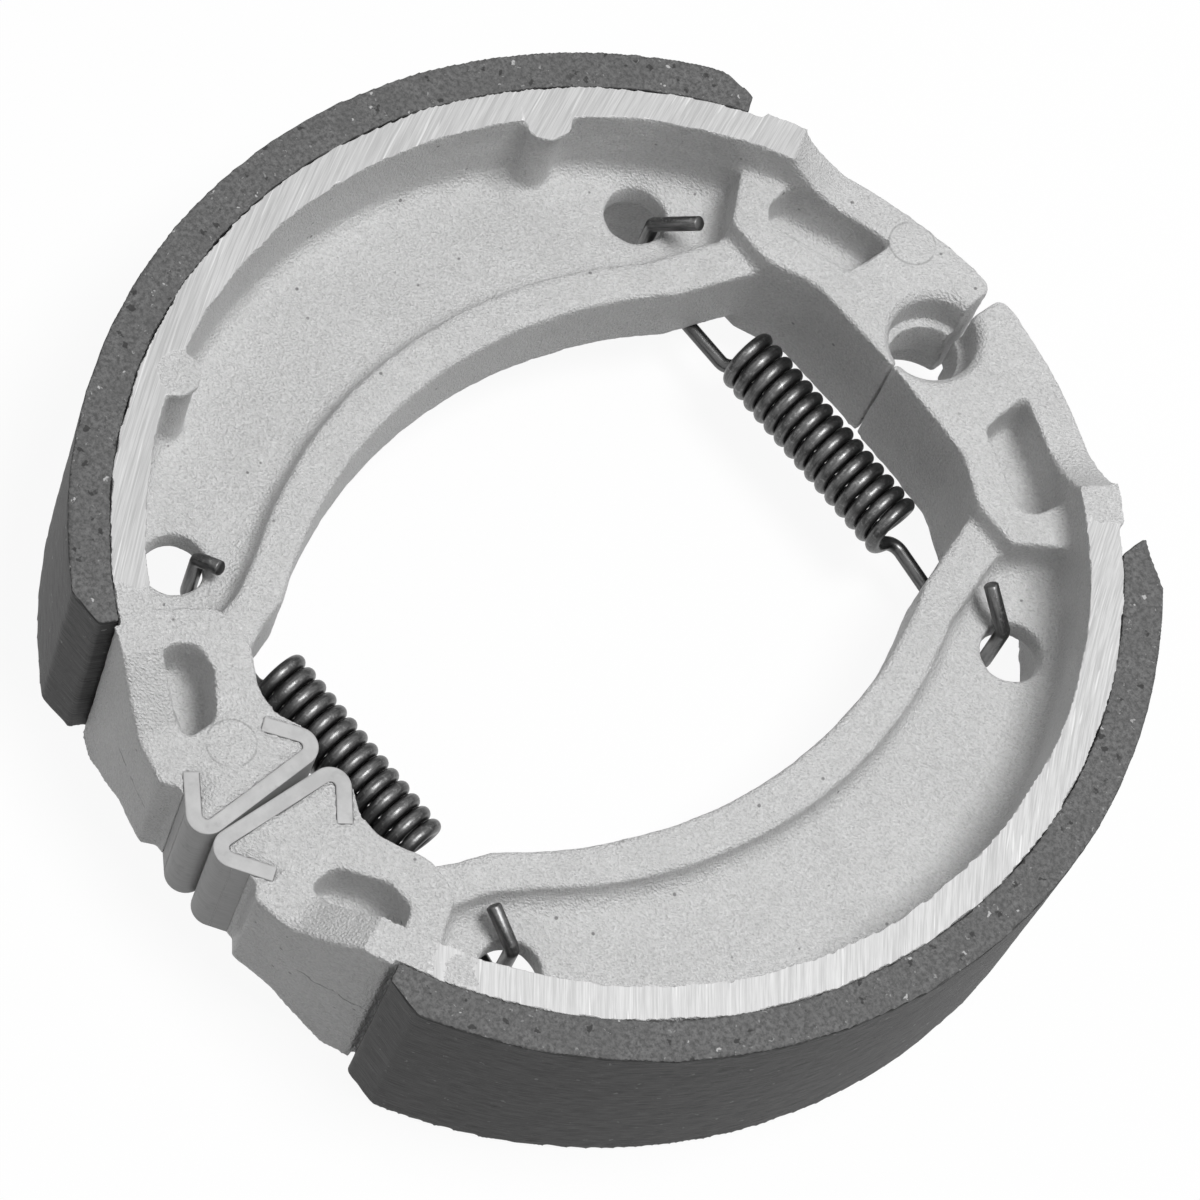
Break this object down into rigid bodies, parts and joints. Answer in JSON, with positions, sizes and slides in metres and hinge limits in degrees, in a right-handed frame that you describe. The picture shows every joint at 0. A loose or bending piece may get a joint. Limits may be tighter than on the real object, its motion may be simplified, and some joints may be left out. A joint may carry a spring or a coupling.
{
  "type": "drum brake shoe set",
  "caption": "Leading and trailing drum brake shoes with bonded linings, cast-in cam plates and hooked return springs, held closed by the springs.",
  "frame": {"origin": "the drum's axis, at the lower faces of the shoe rims", "axes": "+Z along the drum's axis, +Y from the axis towards the anchor pin seat, the cam plates on -Y"},
  "size_m": [0.1054, 0.1024, 0.025],
  "materials": {
    "casting": "as cast, matte, with machined rim faces",
    "lining": "moulded friction material, ground on the outside",
    "plate": "rolled strip",
    "spring": "blackened spring wire"
  },
  "bodies": {
    "left_half": {"left_shoe": "casting", "left_lining": "lining", "left_cam_plate": "plate", "anchor_spring": "spring", "cam_spring": "spring"},
    "right_half": {"right_shoe": "casting", "right_lining": "lining", "right_cam_plate": "plate"}
  },
  "joints": [
    {"name": "shoe_spread", "type": "hinge", "parent": "left_half", "child": "right_half", "pos_m": [0, 0.03678, 0.0125], "axis": [0, 0, 1], "range_deg": [0, 4.4], "stiffness_Nm_per_rad": 60, "springref_deg": -1.72, "deforming": ["anchor_spring", "cam_spring"]}
  ]
}
